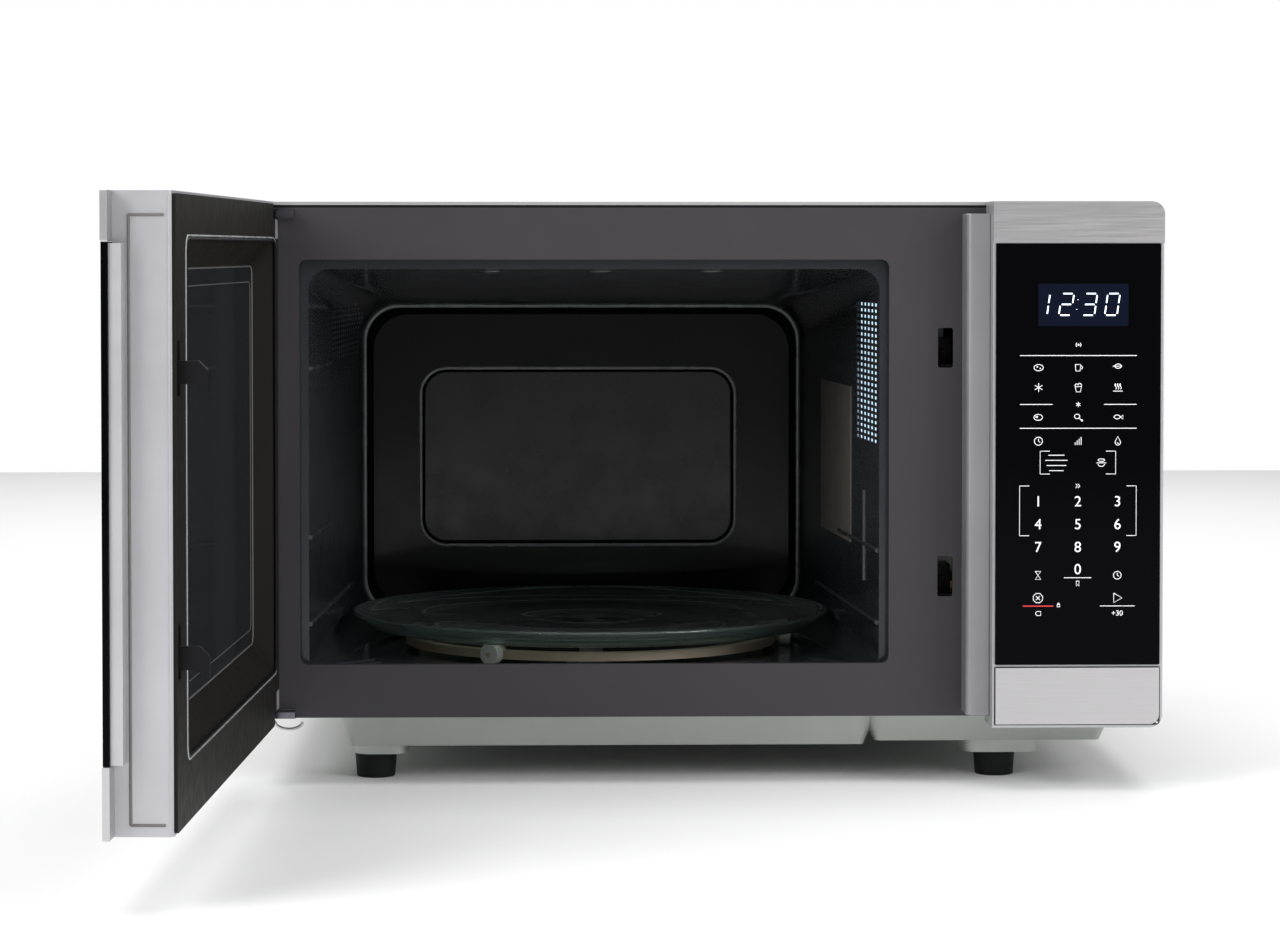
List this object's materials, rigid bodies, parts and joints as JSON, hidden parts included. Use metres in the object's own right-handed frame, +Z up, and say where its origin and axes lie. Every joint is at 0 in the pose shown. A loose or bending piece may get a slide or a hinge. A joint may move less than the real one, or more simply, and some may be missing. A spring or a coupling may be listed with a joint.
{
  "type": "microwave oven",
  "caption": "Countertop microwave oven with its side-hinged door open, a glass turntable in a dark enamelled cavity and a touch panel beside it.",
  "frame": {"origin": "on the surface under the feet, below the middle of the whole footprint with the door open", "axes": "+Z up, -Y out of the front where the door opens, +X to the right seen from the front"},
  "size_m": [0.6064, 0.9079, 0.3672],
  "materials": {
    "case_paint": "satin silver-grey paint",
    "front_paint": "satin dark grey paint",
    "cavity_enamel": "glossy dark enamel",
    "zinc_steel": "pale galvanised sheet",
    "trim_steel": "fine horizontal grain",
    "silver_plastic": "satin silver moulding",
    "choke_plastic": "satin dark grey moulding",
    "black_glass": "glass with a black printed back",
    "window_glass": "clear inner window over the dark perforated screen",
    "tray_glass": "clear greenish pressed glass",
    "mica": "pressed mica sheet",
    "black_plastic": "fine matt moulding",
    "white_plastic": "white moulding",
    "ring_plastic": "tan heat-proof moulding",
    "display": "dark display window",
    "board": "solder resist",
    "copper_winding": "lacquered copper wire",
    "aluminium_part": "plain aluminium",
    "plated_steel": "zinc plated",
    "foot_rubber": "moulded rubber"
  },
  "bodies": {
    "oven": {"cabinet_cover": "case_paint", "back_panel": "zinc_steel", "front_plate": "front_paint", "cavity_wrap": "cavity_enamel", "cavity_floor": "cavity_enamel", "cavity_back": "cavity_enamel", "exhaust_vent": "cavity_enamel", "inlet_vent": "cavity_enamel", "base_pan": "zinc_steel", "feet": "foot_rubber", "case_screws": "plated_steel", "cord_gland": "black_plastic", "control_panel_frame": "silver_plastic", "panel_side_rail": "silver_plastic", "control_glass": "black_glass", "panel_top_strip": "trim_steel", "display_module": "display", "control_board": "board", "latch_board": "black_plastic", "hinge_bracket_upper": "plated_steel", "hinge_bracket_lower": "plated_steel", "turntable_motor": "plated_steel", "wave_window": "mica", "waveguide": "plated_steel", "magnetron": "aluminium_part", "air_duct": "black_plastic", "cavity_lamp": "white_plastic", "inverter_board": "board", "inverter_transformer": "copper_winding", "fan_shroud": "black_plastic", "fan_motor": "plated_steel", "noise_filter_board": "board", "humidity_sensor": "white_plastic", "switch_lower": "black_plastic", "switch_monitor": "black_plastic", "switch_upper": "black_plastic"},
    "door": {"door_frame": "silver_plastic", "door_glass": "black_glass", "door_top_strip": "trim_steel", "door_bottom_strip": "trim_steel", "door_pan": "front_paint", "inner_window": "window_glass", "choke_cover": "choke_plastic", "hinge_bushes": "white_plastic", "door_screws": "plated_steel", "latch_spring": "plated_steel"},
    "latch_key": {"latch_key": "black_plastic"},
    "release_bar": {"release_bar": "silver_plastic", "release_bar_face": "trim_steel"},
    "latch_lifter": {"latch_lifter": "black_plastic"},
    "plunger_lower": {"plunger_lower": "white_plastic"},
    "plunger_monitor": {"plunger_monitor": "white_plastic"},
    "plunger_upper": {"plunger_upper": "white_plastic"},
    "turntable_coupler": {"turntable_coupler": "white_plastic"},
    "glass_tray": {"glass_tray": "tray_glass"},
    "roller_ring": {"roller_ring": "ring_plastic"},
    "roller_1": {"roller_1": "white_plastic"},
    "roller_2": {"roller_2": "white_plastic"},
    "roller_3": {"roller_3": "white_plastic"},
    "fan_rotor": {"fan_rotor": "black_plastic"}
  },
  "joints": [
    {"name": "door_hinge", "type": "hinge", "parent": "oven", "child": "door", "pos_m": [-0.2525, -0.007, 0.2], "axis": [0, 0, -1], "range_deg": [-92.5, 18]},
    {"name": "latch_key_slide", "type": "slide", "parent": "door", "child": "latch_key", "axis": [0, 0, 1], "range_m": [0, 0.004], "stiffness_N_per_m": 200, "springref_m": -0.008, "deforming": ["latch_spring"]},
    {"name": "release_press", "type": "slide", "parent": "oven", "child": "release_bar", "axis": [0, 1, 0], "range_m": [0, 0.004], "stiffness_N_per_m": 500, "springref_m": -0.006},
    {"name": "lifter_slide", "type": "slide", "parent": "oven", "child": "latch_lifter", "axis": [0, 0, 1], "range_m": [0, 0.004]},
    {"name": "plunger_lower_slide", "type": "slide", "parent": "oven", "child": "plunger_lower", "axis": [0, 1, 0], "range_m": [0, 0.0015], "stiffness_N_per_m": 200, "springref_m": -0.002},
    {"name": "plunger_monitor_slide", "type": "slide", "parent": "oven", "child": "plunger_monitor", "axis": [0, 1, 0], "range_m": [0, 0.0015], "stiffness_N_per_m": 200, "springref_m": -0.002},
    {"name": "plunger_upper_slide", "type": "slide", "parent": "oven", "child": "plunger_upper", "axis": [0, 1, 0], "range_m": [0, 0.0015], "stiffness_N_per_m": 200, "springref_m": -0.002},
    {"name": "turntable_spin", "type": "hinge", "parent": "oven", "child": "turntable_coupler", "pos_m": [-0.0497, 0.2, 0.07], "axis": [0, 0, 1], "continuous": true},
    {"name": "tray_lift", "type": "slide", "parent": "turntable_coupler", "child": "glass_tray", "axis": [0, 0, 1], "range_m": [0, 0.06]},
    {"name": "ring_spin", "type": "hinge", "parent": "oven", "child": "roller_ring", "pos_m": [-0.0497, 0.2, 0.072], "axis": [0, 0, 1], "continuous": true},
    {"name": "roller_1_spin", "type": "hinge", "parent": "roller_ring", "child": "roller_1", "pos_m": [0.08305, 0.2, 0.0733], "axis": [1, 0, 0], "continuous": true},
    {"name": "roller_2_spin", "type": "hinge", "parent": "roller_ring", "child": "roller_2", "pos_m": [-0.11607, 0.31496, 0.0733], "axis": [-0.5, 0.866, 0], "continuous": true},
    {"name": "roller_3_spin", "type": "hinge", "parent": "roller_ring", "child": "roller_3", "pos_m": [-0.11607, 0.08503, 0.0733], "axis": [-0.5, -0.866, 0], "continuous": true},
    {"name": "fan_spin", "type": "hinge", "parent": "oven", "child": "fan_rotor", "pos_m": [0.219, 0.39, 0.226], "axis": [0, 1, 0], "continuous": true}
  ],
  "couplings": [
    {"joint": "lifter_slide", "follows": "release_press", "ratio": 1},
    {"joint": "ring_spin", "follows": "turntable_spin", "ratio": 0.5},
    {"joint": "roller_1_spin", "follows": "turntable_spin", "ratio": -9.6196},
    {"joint": "roller_2_spin", "follows": "turntable_spin", "ratio": -9.6196},
    {"joint": "roller_3_spin", "follows": "turntable_spin", "ratio": -9.6196}
  ]
}
